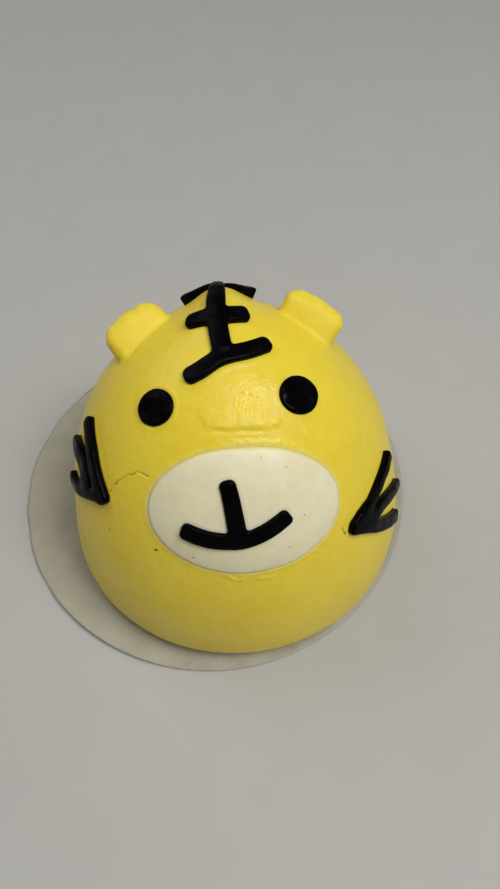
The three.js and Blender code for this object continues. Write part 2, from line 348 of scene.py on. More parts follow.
# How finely the surfaces are drawn. The head's faces are gathered towards its face, split near the
# marks' rims and the creases, and split twice more near the crack, the tear and the rubbed patch.
SHELL_SPANS = 102
SHELL_GATHER = 0.6
SHELL_FACING = (0, -0.62, 0.78)
RIM_REACH = 1.5
FINE_REACHES = (1.1, 0.6)
TRACE_STEP = 0.12
MARK_CELL = 0.24
MUZZLE_CELL = 0.32
EAR_CELL = 0.3
PAPER_RINGS = 46
PAPER_SIDES = 288
PAPER_RING_POWER = 0.7

# How the dough's form is followed: the steps of a walk over it, how far away a slope is probed, and
# the least steepness that a point is moved along.
WALK_STEPS = 10
PROBE = 0.03
LEAST_STEEPNESS = 0.25
TINY = 1e-9
UP_THE_FACE = np.array([0, 1, 1]) / math.sqrt(2)


def shown(red, green, blue):
    """A colour as seen on screen, from 0 to 255, as the linear values that Blender wants."""
    levels = np.array([red, green, blue]) / 255
    linear = np.where(levels < 0.04045, levels / 12.92, ((levels + 0.055) / 1.055) ** 2.4)
    return tuple(float(level) for level in linear)


def unit(vectors):
    """Vectors brought to length one."""
    return vectors / np.maximum(np.linalg.norm(vectors, axis=-1, keepdims=True), TINY)


def fading(distance, spread):
    """One at no distance, and fading to nothing over a spread, as a bell curve."""
    return np.exp(-((distance / spread) ** 2))


def slopes(field, points, value):
    """How fast a field changes along each axis at points where its value is known."""
    steps = np.eye(points.shape[1]) * PROBE
    return np.stack([(field(points + step) - value) / PROBE for step in steps], axis=1)


def unevenness(points, size, seed, waves=7):
    """Smooth waves of about this size, mostly between -1 and 1, the same for the same seed."""
    draw = np.random.default_rng(seed)
    total = np.zeros(len(points))
    for _ in range(waves):
        heading = unit(draw.normal(size=points.shape[1]))
        length = size * draw.uniform(0.7, 1.5)
        total += np.sin(points @ heading * 2 * math.pi / length + draw.uniform(0, 2 * math.pi))
    return total / math.sqrt(waves)


def waved(points, kind, number=0):
    """Unevenness of one kind, and of its own where a number tells like pieces apart."""
    return kind["height"] * unevenness(points, kind["size"], kind["seed"] + number)


def rounded_both(one, other, radius):
    """Signed distance to where both are inside, with the corner between them rounded."""
    over = np.hypot(np.maximum(one + radius, 0), np.maximum(other + radius, 0))
    return np.minimum(np.maximum(one, other), -radius) + over


def melted(one, other, reach):
    """Signed distance to two forms together, with the crease between them filled."""
    near = np.maximum(1 - np.abs(one - other) / reach, 0)
    return np.minimum(one, other) - near * near * reach / 4


def smooth_line(path, spans=7):
    """A curve through a path's points, as many short straight spans."""
    points = np.array(path, float)
    padded = np.vstack([points[0], points, points[-1]])
    shares = np.linspace(0, 1, spans, endpoint=False)[:, None]
    line = []
    for first, start, end, last in zip(padded, padded[1:], padded[2:], padded[3:]):
        leave = (end - first) / 2
        arrive = (last - start) / 2
        cubic = 2 * start - 2 * end + leave + arrive
        square = -3 * start + 3 * end - 2 * leave - arrive
        line.append(cubic * shares**3 + square * shares**2 + leave * shares + start)
    return np.vstack([*line, points[-1]])


def nearest_on(line, flat):
    """Distance from flat points to a line, and how far along it each nearest place is."""
    closest = np.full(len(flat), np.inf)
    along = np.zeros(len(flat))
    run = 0.0
    for start, span in zip(line, np.diff(line, axis=0)):
        length = math.hypot(*span)
        share = np.clip((flat - start) @ span / length**2, 0, 1)
        away = flat - start - share[:, None] * span
        distance = np.hypot(away[:, 0], away[:, 1])
        closer = distance < closest
        closest[closer] = distance[closer]
        along[closer] = run + share[closer] * length
        run += length
    return closest, along / run


class Dome:
    """The dough's outer form: a turned profile of two half superellipses, with lumps."""

    def __init__(self, sizes):
        self.radius = sizes.radius / MM
        self.rise = (sizes.top - sizes.waist) / MM
        self.tuck = sizes.tuck / MM
        self.upper_power = sizes.upper_power
        self.lower_power = sizes.lower_power
        self.centre = np.array([0, 0, sizes.waist / MM])

    def reach(self, directions):
        """Distance from the waist's centre to the dough, along unit directions."""
        upper = directions[:, 2] >= 0
        rise = np.where(upper, self.rise, self.tuck)
        power = np.where(upper, self.upper_power, self.lower_power)
        out = np.hypot(directions[:, 0], directions[:, 1]) / self.radius
        smooth = (out**power + (np.abs(directions[:, 2]) / rise) ** power) ** (-1 / power)
        points = self.centre + directions * smooth[:, None]
        lumps = waved(points, UNEVEN)
        for swell in SWELLS:
            offset = (points - swell["at"]) / swell["spread"]
            lumps += swell["height"] * np.exp(-(offset**2).sum(axis=1) / 2)
        return smooth + lumps

    def height_over(self, points):
        """How far points lie outside the dough, from the waist's centre."""
        offset = points - self.centre
        length = np.linalg.norm(offset, axis=1)
        return length - self.reach(offset / length[:, None])

    def onto(self, points):
        """Points moved straight out from the waist's centre, or in, onto the dough."""
        directions = unit(points - self.centre)
        return self.centre + directions * self.reach(directions)[:, None]

    def normals(self, points):
        """The way out of the dough at points on it."""
        return unit(slopes(self.height_over, points, self.height_over(points)))

    def stand_at(self, azimuth, lift, turn=0.0):
        """The place of a spot, with the directions across, up the face and out there."""
        around, above, turned = np.radians([azimuth, lift, turn])
        level = math.cos(above)
        heading = np.array([math.sin(around) * level, -math.cos(around) * level, math.sin(above)])
        place = self.onto(self.centre + heading[None])
        out = self.normals(place)[0]
        up = unit(UP_THE_FACE - out * (UP_THE_FACE @ out))
        across = np.cross(up, out)
        up, across = (
            up * math.cos(turned) - across * math.sin(turned),
            across * math.cos(turned) + up * math.sin(turned),
        )
        return place[0], across, up, out

    def walk(self, spot, flat):
        """Where walking over the dome from a spot, so far across and up, ends, and the way out."""
        place, across, up, out = self.stand_at(*spot)
        length = np.hypot(flat[:, 0], flat[:, 1])[:, None]
        heading = (flat[:, :1] * across + flat[:, 1:2] * up) / np.maximum(length, TINY)
        points = np.repeat(place[None], len(flat), axis=0)
        normals = np.repeat(out[None], len(flat), axis=0)
        for _ in range(WALK_STEPS):
            points = self.onto(points + heading * length / WALK_STEPS)
            normals = self.normals(points)
            heading = unit(heading - normals * (heading * normals).sum(axis=1, keepdims=True))
        return points, normals

    def on_face(self, spots):
        """Points on the dough at spots across and up from the face's own spot."""
        return self.walk(FACE, np.array(spots, float))[0]


class Mark:
    """A flat piece of dough on the dome. Its own space runs across, up the face and out."""

    edge = 0.5
    cell = MARK_CELL
    room_below = 0.5
    room_above = 2.0

    def __init__(self, spot, relief):
        self.spot = spot
        self.up, self.down = relief

    def outline(self, flat):
        """Signed distance from flat points to the mark's edge, negative inside."""
        raise NotImplementedError

    def top(self, flat, outline):
        """How high the mark's top stands over flat points, with their distance from its edge."""
        raise NotImplementedError

    def field(self, points):
        """Signed distance from points in the mark's space to its skin."""
        flat = points[:, :2]
        outline = self.outline(flat)
        slab = np.maximum(points[:, 2] - self.top(flat, outline), -self.down - points[:, 2])
        return rounded_both(outline, slab, self.edge)

    def reach(self):
        """How far the mark goes from its spot, to the lowest and highest corner."""
        raise NotImplementedError

    def rim(self, dome, lift=0.0):
        """Points all along the mark's edge on the dome."""
        low, high = self.reach()
        across = np.arange(low[0], high[0], self.cell)
        up = np.arange(low[1], high[1], self.cell)
        flat = np.stack(np.meshgrid(across, up), axis=-1).reshape(-1, 2)
        away = self.outline(flat)
        near = np.abs(away) < self.cell
        flat = flat[near]
        away = away[near]
        flat = flat - unit(slopes(self.outline, flat, away)) * away[:, None]
        points, normals = dome.walk(self.spot, flat)
        return points + normals * lift

    def drape(self, dome, lift=0.0):
        """The mark's skin laid on the dome: its points, its faces and the way out at each."""
        low, high = self.reach()
        low = np.array([*low, -self.down - self.room_below])
        high = np.array([*high, self.up + self.room_above])
        flat, faces = skin(self.field, low, high, self.cell)
        points, normals = dome.walk(self.spot, flat)
        return points + normals * (flat[:, 2:] + lift), faces, normals


class Pat(Mark):
    """An oval pat, with a thumbed dent where its shape gives one."""

    margin = 1
    crown_power = 4
    thumbed = dict(height=0.06, size=2.2, seed=14)

    def __init__(self, shape, relief, edge=0.5, crown=0.0, ruffle=0.0, wider=0.0):
        super().__init__(shape["spot"], relief)
        self.half = np.array(shape["half_size"]) + wider
        self.edge = edge
        self.crown = crown
        self.ruffle = dict(height=ruffle, size=11, seed=8)
        self.dent = shape.get("dent")

    def reach(self):
        return -self.half - self.margin, self.half + self.margin

    def outline(self, flat):
        share = np.linalg.norm(flat / self.half, axis=1)
        slope = np.linalg.norm(flat / self.half**2, axis=1)
        away = share * (share - 1) / np.maximum(slope, TINY)
        return away + waved(flat, self.ruffle)

    def top(self, flat, outline):
        share = np.linalg.norm(flat / self.half, axis=1)
        top = self.up - self.crown * np.minimum(share, 1) ** self.crown_power
        if self.dent:
            top = top + waved(flat, self.thumbed)
            offset = np.linalg.norm((flat - self.dent["at"]) / self.dent["spread"], axis=1)
            top = top - self.dent["depth"] * fading(offset, 1)
        return top


class StripMark(Mark):
    """Strips of dough pressed into one mark."""

    crown = 0.16
    slope_in = 1.3
    run_on = 4.0
    margin = 3
    blend = 0.4
    waves = dict(height=0.05, size=4.5, seed=12)

    def __init__(self, shape, relief):
        super().__init__(shape["spot"], relief)
        self.strips = shape["strips"]
        self.corner = shape["corner"]
        self.fuse = shape.get("fuse", 0.8)

    def reach(self):
        points = np.vstack([smooth_line(strip["path"]) for strip in self.strips])
        return points.min(axis=0) - self.margin, points.max(axis=0) + self.margin

    def strip_outline(self, flat, strip):
        """Signed distance to one strip's edge, and how much thicker the strip is there."""
        line = smooth_line(strip["path"])
        backward = unit(line[0] - line[1])
        forward = unit(line[-1] - line[-2])
        before = line[0] + backward * self.run_on
        beyond = line[-1] + forward * self.run_on
        longer = np.vstack([before, line, beyond])
        distance, along = nearest_on(longer, flat)
        whole = np.linalg.norm(np.diff(longer, axis=0), axis=1).sum()
        station = np.clip((along * whole - self.run_on) / (whole - 2 * self.run_on), 0, 1)
        half = np.interp(station, [0, 1], strip["width"]) / 2
        ends = np.maximum((flat - line[0]) @ backward, (flat - line[-1]) @ forward)
        away = rounded_both(distance - half, ends, min(self.corner, half.min()))
        return away, np.interp(station, [0, 1], strip.get("thicker", (0, 0)))

    def outline(self, flat):
        together = np.full(len(flat), np.inf)
        for strip in self.strips:
            together = melted(together, self.strip_outline(flat, strip)[0], self.fuse)
        return together

    def top(self, flat, outline):
        parts = [self.strip_outline(flat, strip) for strip in self.strips]
        aways = np.stack([away for away, _ in parts])
        nearness = np.exp(-(aways - aways.min(axis=0)) / self.blend)
        thicker = np.stack([more for _, more in parts]) * nearness
        thicker = thicker.sum(axis=0) / nearness.sum(axis=0)
        toward_edge = 1 - np.clip(-outline / self.slope_in, 0, 1)
        top = self.up + thicker - self.crown * toward_edge**2
        return top + waved(flat, self.waves)


def skin(field, low, high, cell, chunk=60000):
    """Points and four-sided faces of the surface where a field, negative inside, is zero."""
    counts = np.ceil((high - low) / cell).astype(int) + 1
    ticks = [low[axis] + cell * np.arange(counts[axis]) for axis in range(3)]
    grid = np.stack(np.meshgrid(*ticks, indexing="ij"), axis=-1)
    everywhere = grid.reshape(-1, 3)
    parts = [field(everywhere[start : start + chunk]) for start in range(0, len(everywhere), chunk)]
    value = np.concatenate(parts).reshape(counts)

    total = np.zeros((*(counts - 1), 3))
    hits = np.zeros(counts - 1)
    crossings = []
    for axis in range(3):
        begin = np.take(value, range(counts[axis] - 1), axis=axis)
        end = np.take(value, range(1, counts[axis]), axis=axis)
        crossing = (begin < 0) != (end < 0)
        share = np.where(crossing, begin / np.where(crossing, begin - end, 1), 0)
        point = np.take(grid, range(counts[axis] - 1), axis=axis).copy()
        point[..., axis] += share * cell
        crossings.append((crossing, begin < 0))
        one, two = (axis + 1) % 3, (axis + 2) % 3
        for back_one, back_two in product((0, 1), repeat=2):
            window = [slice(None)] * 3
            window[one] = slice(back_one, counts[one] - 1 + back_one)
            window[two] = slice(back_two, counts[two] - 1 + back_two)
            window = tuple(window)
            total += np.where(crossing[window][..., None], point[window], 0)
            hits += crossing[window]

    used = hits > 0
    points = total[used] / hits[used][:, None]
    number = np.full(hits.shape, -1)
    number[used] = np.arange(len(points))
    faces = []
    for axis, (crossing, leaving) in enumerate(crossings):
        one, two = (axis + 1) % 3, (axis + 2) % 3
        window = [slice(None)] * 3
        window[one] = slice(1, counts[one] - 1)
        window[two] = slice(1, counts[two] - 1)
        found = np.argwhere(crossing[tuple(window)])
        found[:, one] += 1
        found[:, two] += 1
        corners = []
        for back_one, back_two in ((1, 1), (0, 1), (0, 0), (1, 0)):
            corner = found.copy()
            corner[:, one] -= back_one
            corner[:, two] -= back_two
            corners.append(number[tuple(corner.T)])
        quads = np.stack(corners, axis=1)
        entering = ~leaving[tuple(found.T)]
        quads[entering] = quads[entering, ::-1]
        faces.append(quads)
    return settled(field, points), np.vstack(faces)


def settled(field, points, rounds=2):
    """Points near a field's zero, moved onto it."""
    for _ in range(rounds):
        value = field(points)
        slope = slopes(field, points, value)
        steepness = np.maximum((slope**2).sum(axis=1, keepdims=True), LEAST_STEEPNESS)
        points = points - slope * value[:, None] / steepness
    return points


class Traces:
    """Finds how far points are from the nearest of many trace points."""

    def __init__(self, points):
        self.tree = KDTree(len(points))
        for index, point in enumerate(points):
            self.tree.insert(point, index)
        self.tree.balance()

    def nearest(self, points):
        """The distance to the nearest trace point, and which one it is."""
        found = [self.tree.find(point)[1:] for point in points]
        indices, distances = zip(*found)
        return np.array(distances), np.array(indices)

    def distance(self, points):
        return self.nearest(points)[0]


def crease_relief(dome, crease, points, seed):
    """The relief of one crease, which fades at its ends and comes and goes along its way."""
    trace = traced(dome, crease["path"], wobble=CREASE_WOBBLE, seed=seed)
    distance, index = Traces(trace).nearest(points)
    along = np.linspace(0, 1, len(trace))
    strength = np.minimum(1, CREASE_ENDS * along * (1 - along))
    strength = strength * (CREASE_USUAL + waved(trace, CREASE_COMES, seed))
    spread = crease["spread"]
    if "inner" in crease:
        toward = dome.on_face([TERRACE]) - trace[index]
        inside = ((points - trace[index]) * toward).sum(axis=1) > 0
        spread = np.where(inside, crease["inner"], spread)
    return crease["height"] * strength[index] * fading(distance, spread)


def rim_relief(distance):
    """How far dough swells or sinks at a distance from a mark's edge."""
    groove = RIM["groove"] * fading(distance, RIM["groove_spread"])
    swell = RIM["swell"] * fading(distance - RIM["swell_at"], RIM["swell_spread"])
    return swell - groove


def traced(dome, path, wobble=0.0, seed=0, knot=0.7):
    """Points close together on the dough along a path from the face's spot, wandering a little."""
    line = smooth_line(path)
    lengths = np.linalg.norm(np.diff(line, axis=0), axis=1)
    run = np.concatenate([[0], np.cumsum(lengths)])
    stations = np.arange(0, run[-1], TRACE_STEP)
    flat = np.stack([np.interp(stations, run, line[:, axis]) for axis in range(2)], axis=1)
    if wobble:
        draw = np.random.default_rng(seed)
        knots = np.arange(0, run[-1] + knot, knot)
        for axis in range(2):
            flat[:, axis] += np.interp(stations, knots, draw.uniform(-wobble, wobble, len(knots)))
    return dome.on_face(flat)


class DomeSizes(bpy.types.PropertyGroup):
    radius: FloatProperty(
        name="Radius", description="Half the bun's width", default=0.044, unit="LENGTH"
    )
    top: FloatProperty(name="Top", description="Height of the dome", default=0.070, unit="LENGTH")
    waist: FloatProperty(
        name="Waist", description="Height where the bun is widest", default=0.008, unit="LENGTH"
    )
    tuck: FloatProperty(
        name="Tuck", description="Depth of the foot's curve", default=0.0095, unit="LENGTH"
    )
    base: FloatProperty(
        name="Base", description="Height of the flat foot", default=0.00045, unit="LENGTH"
    )
    upper_power: FloatProperty(
        name="Dome fullness", description="2 is an ellipse, more is squarer", default=1.9
    )
    lower_power: FloatProperty(
        name="Foot fullness", description="2 is an ellipse, more is squarer", default=3.0
    )


class EarSizes(bpy.types.PropertyGroup):
    corner: FloatProperty(
        name="Corner", description="Rounding of the tab's outline", default=0.0017, unit="LENGTH"
    )
    edge: FloatProperty(
        name="Edge", description="Rounding between face and rim", default=0.0021, unit="LENGTH"
    )
    fillet: FloatProperty(
        name="Fillet", description="Dough drawn up round the ear", default=0.0012, unit="LENGTH"
    )
    pillow: FloatProperty(
        name="Pillow", description="How far the face bulges", default=0.0009, unit="LENGTH"
    )
    slope: FloatProperty(
        name="Slope", description="How far the front face leans back, as a slope", default=0.24
    )


PAPER_LOW, PAPER_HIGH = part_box("paper_liner")


class PaperSizes(bpy.types.PropertyGroup):
    radius: FloatProperty(
        name="Radius",
        description="Half the width of the steaming paper",
        default=(PAPER_HIGH.x - PAPER_LOW.x) / 2,
        unit="LENGTH",
    )
    thickness: FloatProperty(
        name="Thickness", description="Of the paper", default=0.00016, unit="LENGTH"
    )
    flat_radius: FloatProperty(
        name="Flat radius",
        description="Where the bun holds the paper down",
        default=0.042,
        unit="LENGTH",
    )
    curl: FloatProperty(
        name="Curl", description="How far the rim lifts", default=0.0011, unit="LENGTH"
    )
    least_rise: FloatProperty(
        name="Least rise", description="Gap to the table", default=0.00004, unit="LENGTH"
    )


class BunColours(bpy.types.PropertyGroup):
    yellow: FloatVectorProperty(
        name="Yellow dough",
        description="Head and ears",
        subtype="COLOR",
        default=shown(236, 212, 59),
    )
    pale: FloatVectorProperty(
        name="Pale dough", description="Muzzle", subtype="COLOR", default=shown(235, 227, 192)
    )
    black: FloatVectorProperty(
        name="Black dough",
        description="Eyes, mouth and stripes",
        subtype="COLOR",
        default=shown(4, 4, 5),
    )
    # Bran colours the specks, and is also the colour of the painted shade in cracks, pits, the tear
    # and at the muzzle's rim.
    bran: FloatVectorProperty(
        name="Bran",
        description="Specks and the inside of cracks",
        subtype="COLOR",
        default=shown(88, 70, 22),
    )
    paper: FloatVectorProperty(
        name="Paper", description="Steaming paper", subtype="COLOR", default=shown(170, 165, 147)
    )
    floor: FloatVectorProperty(
        name="Floor",
        description="The plain surface below",
        subtype="COLOR",
        default=shown(182, 180, 174),
    )
    surround: FloatVectorProperty(
        name="Surround",
        description="The light all round",
        subtype="COLOR",
        default=shown(238, 240, 244),
    )


class StageSettings(bpy.types.PropertyGroup):
    camera_place: FloatVectorProperty(
        name="Camera",
        description="Where the camera stands",
        subtype="TRANSLATION",
        default=(0.01058, -0.09845, 0.17202),
    )
    pitch: FloatProperty(
        name="Pitch",
        description="How far the camera looks down",
        subtype="ANGLE",
        default=math.radians(57),
    )
    roll: FloatProperty(
        name="Roll",
        description="How far the camera leans",
        subtype="ANGLE",
        default=math.radians(-1.91),
    )
    lens: FloatProperty(
        name="Lens", description="Focal length in millimetres on a 36 mm side", default=27.05
    )
    key: FloatProperty(
        name="Key light", description="Power of the light on the right", default=4.75, unit="POWER"
    )
    top: FloatProperty(
        name="Top light", description="Power of the light overhead", default=1.15, unit="POWER"
    )
    side: FloatProperty(
        name="Side light",
        description="Power of the light at the back left",
        default=1.6,
        unit="POWER",
    )
    ambient: FloatProperty(
        name="Ambient", description="Strength of the light all round", default=0.055
    )


def tinted(colour, red, green, blue):
    """A colour with each channel multiplied."""
    return tuple(min(1.0, level * scale) for level, scale in zip(colour, (red, green, blue)))


class Finish:
    """A material in the making: its shader, and the place that its textures start from."""

    def __init__(self, name, values=None):
        self.material = bpy.data.materials.new(name)
        self.material.use_nodes = True
        self.tree = self.material.node_tree
        self.tree.nodes.clear()
        self.shader = self.add("ShaderNodeBsdfPrincipled", values)
        output = self.add("ShaderNodeOutputMaterial")
        self.link(self.shader.outputs["BSDF"], output.inputs["Surface"])
        self.place = self.add("ShaderNodeTexCoord").outputs["Object"]

    def add(self, kind, inputs=None, **settings):
        """Adds a node, sets its settings by name, and then its inputs."""
        made = self.tree.nodes.new(kind)
        for name, value in settings.items():
            setattr(made, name, value)
        for name, value in (inputs or {}).items():
            made.inputs[name].default_value = value
        return made

    def link(self, source, socket):
        self.tree.links.new(source, socket)

    def noise(self, size, detail=2.0, roughness=0.5):
        """Noise whose patches are about this many millimetres."""
        inputs = {"Scale": 1 / (size * MM), "Detail": detail, "Roughness": roughness}
        made = self.add("ShaderNodeTexNoise", inputs)
        self.link(self.place, made.inputs["Vector"])
        return made.outputs["Fac"]

    def ranged(self, source, low, high, start=0.3, end=0.7):
        """A factor stretched from one range to another."""
        inputs = {"From Min": start, "From Max": end, "To Min": low, "To Max": high}
        made = self.add("ShaderNodeMapRange", inputs)
        self.link(source, made.inputs["Value"])
        return made.outputs["Result"]

    def mixed(self, factor, one, other):
        """Two colours mixed. Each is a colour or another node's output."""
        made = self.add("ShaderNodeMix", data_type="RGBA")
        self.link(factor, made.inputs["Factor"])
        for name, value in (("A", one), ("B", other)):
            socket = next(s for s in made.inputs if s.name == name and s.type == "RGBA")
            if isinstance(value, bpy.types.NodeSocket):
                self.link(value, socket)
            else:
                socket.default_value = (*value, 1)
        return next(s for s in made.outputs if s.type == "RGBA")

    def clouded(self, noise, base, other, most=1):
        """A colour with clouds of another, up to the most that they may cover."""
        return self.mixed(self.ranged(noise, 0, most), base, other)

    def complete(self, base, roughness=None, bumps=()):
        """The material, once its colour, its roughness and its bumps are on the shader.

        Bumps lie on each other, as pairs of a height and its depth in millimetres.
        """
        self.link(base, self.shader.inputs["Base Color"])
        if roughness:
            self.link(roughness, self.shader.inputs["Roughness"])
        below = None
        for height, depth in bumps:
            made = self.add("ShaderNodeBump", {"Strength": 1.0, "Distance": depth * MM})
            self.link(height, made.inputs["Height"])
            if below:
                self.link(below, made.inputs["Normal"])
            below = made.outputs["Normal"]
        if below:
            self.link(below, self.shader.inputs["Normal"])
        return self.material


def dough(name, colour, deeper, lighter, traces, moisture, bump, cloud):
    """Steamed dough: soft light inside, cloudy colour, fine pores and a moist, uneven gloss.

    Traces give the colour that each mark on the mesh brings out, in the order they lie.
    """
    finish = Finish(name, DOUGH_LIGHT)
    clouds = finish.noise(cloud, detail=3)
    mottle = finish.noise(2.6, detail=4, roughness=0.6)
    pores = finish.noise(0.55, detail=3, roughness=0.6)
    drying = finish.noise(7, detail=3)
    base = finish.clouded(clouds, colour, deeper)
    base = finish.clouded(mottle, base, lighter, 0.45)
    for mark, brought_out in traces.items():
        share = finish.add("ShaderNodeAttribute", attribute_name=mark)
        base = finish.mixed(share.outputs["Fac"], base, brought_out)
    roughness = finish.ranged(drying, *moisture)
    return finish.complete(base, roughness, [(mottle, bump), (pores, bump / 3)])


def yellow_dough(colours, name="yellow_dough", moisture=(0.27, 0.46)):
    """The head's dough: rawer where rubbed, painted shade in its cracks, pits and tear and at the
    muzzle's rim, and painted light scattered in from the muzzle.
    """
    yellow = colours.yellow
    deeper = tinted(yellow, 0.95, 0.9, 0.62)
    lighter = tinted(yellow, 1.08, 1.09, 1.6)
    traces = dict(scuff=tinted(yellow, 1.04, 0.97, 0.3), bleed=colours.pale, stain=colours.bran)
    return dough(name, yellow, deeper, lighter, traces, moisture, bump=0.17, cloud=16)


def ear_dough(colours):
    """The same dough, dried a little where the ears stand clear of the head."""
    return yellow_dough(colours, "ear_dough", (0.48, 0.64))


def pale_dough(colours):
    """The muzzle's dough, with painted yellow light scattered in from the head along its rim."""
    pale = colours.pale
    deeper = tinted(pale, 0.95, 0.92, 0.84)
    lighter = tinted(pale, 1.1, 1.11, 1.16)
    traces = dict(bleed=colours.yellow)
    return dough("pale_dough", pale, deeper, lighter, traces, (0.3, 0.5), bump=0.11, cloud=7)


def black_dough(colours):
    """Dark dough with a soft, uneven sheen and small pits."""
    finish = Finish("black_dough", {"IOR": 1.36, "Specular IOR Level": 0.06})
    clouds = finish.noise(5, detail=3)
    grain = finish.noise(0.8, detail=4, roughness=0.65)
    base = finish.clouded(clouds, colours.black, tinted(colours.black, 2.2, 2.3, 2.6), 0.6)
    roughness = finish.ranged(clouds, 0.16, 0.38)
    return finish.complete(base, roughness, [(clouds, 0.16), (grain, 0.05)])


def bran_flecks(colours):
    """Dark flecks in the dough, mottled."""
    finish = Finish("bran", {"Roughness": 0.6})
    grain = finish.noise(0.3, detail=3)
    return finish.complete(finish.clouded(grain, colours.bran, tinted(colours.bran, 0.4, 0.4, 0.5)))


def thin_paper(colours):
    """Thin steaming paper: cloudy, with fine fibres."""
    finish = Finish("steaming_paper")
    clouds = finish.noise(9, detail=4, roughness=0.6)
    fibres = finish.noise(0.9, detail=5, roughness=0.7)
    base = finish.clouded(clouds, colours.paper, tinted(colours.paper, 0.82, 0.82, 0.8))
    base = finish.clouded(fibres, base, tinted(colours.paper, 1.1, 1.1, 1.12), 0.5)
    roughness = finish.ranged(fibres, 0.55, 0.75)
    return finish.complete(base, roughness, [(clouds, 0.4), (fibres, 0.04)])


def pale_floor(colours):
    """A plain pale surface with a faint grain."""
    finish = Finish("pale_floor", {"Roughness": 0.7})
    grain = finish.noise(14, detail=3)
    darker = tinted(colours.floor, 0.97, 0.97, 0.97)
    return finish.complete(finish.clouded(grain, colours.floor, darker))


MATERIALS = dict(
    yellow=yellow_dough,
    ear=ear_dough,
    pale=pale_dough,
    black=black_dough,
    bran=bran_flecks,
    paper=thin_paper,
    floor=pale_floor,
)
MADE_MATERIALS = {}


def finish_of(context, kind):
    """A material by its short name, made once."""
    if kind not in MADE_MATERIALS:
        MADE_MATERIALS[kind] = MATERIALS[kind](context.scene.bun_colours)
    return MADE_MATERIALS[kind]


def add_object(context, name, data):
    made = bpy.data.objects.new(name, data)
    context.scene.collection.objects.link(made)
    return made


def smooth_mesh(context, name, points, faces, finish):
    """A smooth mesh from points in metres, in one of the finishes."""
    mesh = bpy.data.meshes.new(name)
    mesh.from_pydata(points, [], faces)
    mesh.shade_smooth()
    mesh.materials.append(finish_of(context, finish))
    return mesh


def add_piece(context, name, points, faces, finish, node=None, shift=BUN_SHIFT, marks=None):
    """A piece from points in millimetres, which rides on the bun and may stand for a node."""
    mesh = smooth_mesh(context, name, (points + shift) * MM, faces, finish)
    for mark, shares in (marks or {}).items():
        layer = mesh.attributes.new(mark, "FLOAT", "POINT")
        layer.data.foreach_set("value", shares.astype(np.float32))
    piece = add_object(context, name, mesh)
    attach(piece, BODY)
    if node:
        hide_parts(node)


def disc_points(radii, sides):
    """Flat points of a disc: its middle, then rings."""
    around = np.linspace(0, 2 * math.pi, sides, endpoint=False)
    ring = np.stack([np.cos(around), np.sin(around)], axis=1)
    return np.vstack([[[0, 0]], *[ring * radius for radius in radii]])


def disc_faces(rings, sides):
    """Faces of a disc: a fan in the middle, then rings of four-sided faces."""
    faces = [(0, 1 + side, 1 + (side + 1) % sides) for side in range(sides)]
    for inner in range(rings - 1):
        start = 1 + inner * sides
        for side in range(sides):
            ahead = (side + 1) % sides
            faces.append((start + side, start + sides + side, start + sides + ahead, start + ahead))
    return faces


def all_marks():
    """Every mark that is pressed into the yellow dough, the muzzle first."""
    marks = [Pat(MUZZLE, RELIEF["muzzle"])]
    marks += [Pat(eye, RELIEF["eye"]) for eye in EYES]
    marks.append(StripMark(FOREHEAD, RELIEF["stripe"]))
    marks += [StripMark(cheek, RELIEF["whisker"]) for cheek in CHEEKS]
    return marks


def gathered(points, facing, share):
    """Directions drawn together about one of them, and apart on the far side."""
    facing = unit(np.array(facing, float))
    directions = unit(points)
    along = directions @ facing
    across = directions - along[:, None] * facing
    wide = np.linalg.norm(across, axis=1)
    angle = 2 * np.arctan(share * np.tan(np.arctan2(wide, along) / 2))
    return np.cos(angle)[:, None] * facing + np.sin(angle)[:, None] * unit(across)


def places(vertices):
    return np.array([vertex.co for vertex in vertices])


def place_all(vertices, points):
    for vertex, point in zip(vertices, points):
        vertex.co = point


def taken_apart(cage):
    """A cage's points and faces. The cage itself is freed."""
    mesh = bpy.data.meshes.new("cage")
    cage.to_mesh(mesh)
    cage.free()
    points = places(mesh.vertices)
    faces = [tuple(face.vertices) for face in mesh.polygons]
    bpy.data.meshes.remove(mesh)
    return points, faces


def split_near(cage, near):
    """Splits every edge with both ends marked, and the faces beside it."""
    cage.verts.index_update()
    edges = [edge for edge in cage.edges if all(near[vertex.index] for vertex in edge.verts)]
    bmesh.ops.subdivide_edges(cage, edges=edges, cuts=1, use_grid_fill=True)


def dough_shell(dome, rims, fine):
    """A closed cage over the whole bun, finer near the marks' rims and finer still near traces."""
    cage = bmesh.new()
    bmesh.ops.create_cube(cage, size=2)
    bmesh.ops.subdivide_edges(cage, edges=cage.edges[:], cuts=SHELL_SPANS - 1, use_grid_fill=True)
    evened = np.tan(places(cage.verts) * math.pi / 4)
    spin = np.array(Vector(SHELL_FACING).to_track_quat("Z", "Y").to_matrix())
    directions = gathered(unit(evened) @ spin.T, SHELL_FACING, SHELL_GATHER)
    place_all(cage.verts, dome.onto(dome.centre + directions))
    for traces, reach in ((rims, RIM_REACH), *[(fine, reach) for reach in FINE_REACHES]):
        split_near(cage, traces.distance(places(cage.verts)) < reach)
        place_all(cage.verts, dome.onto(places(cage.verts)))
    many_sided = [face for face in cage.faces if len(face.verts) > 4]
    bmesh.ops.triangulate(cage, faces=many_sided)
    return cage


def scuffed(dome, points):
    """How much the rubbed patch between the eyes shows at each point, and its rough relief."""
    offset = points - dome.on_face([SCUFF["middle"]])[0]
    ragged = np.linalg.norm(offset, axis=1) * (1 + waved(points, SCUFF["ragged"]))
    share = np.exp(-((ragged / SCUFF["radius"]) ** SCUFF["sharpness"]))
    rough = sum(waved(offset, grain) for grain in SCUFF["grains"])
    return share, SCUFF["height"] * rough * share


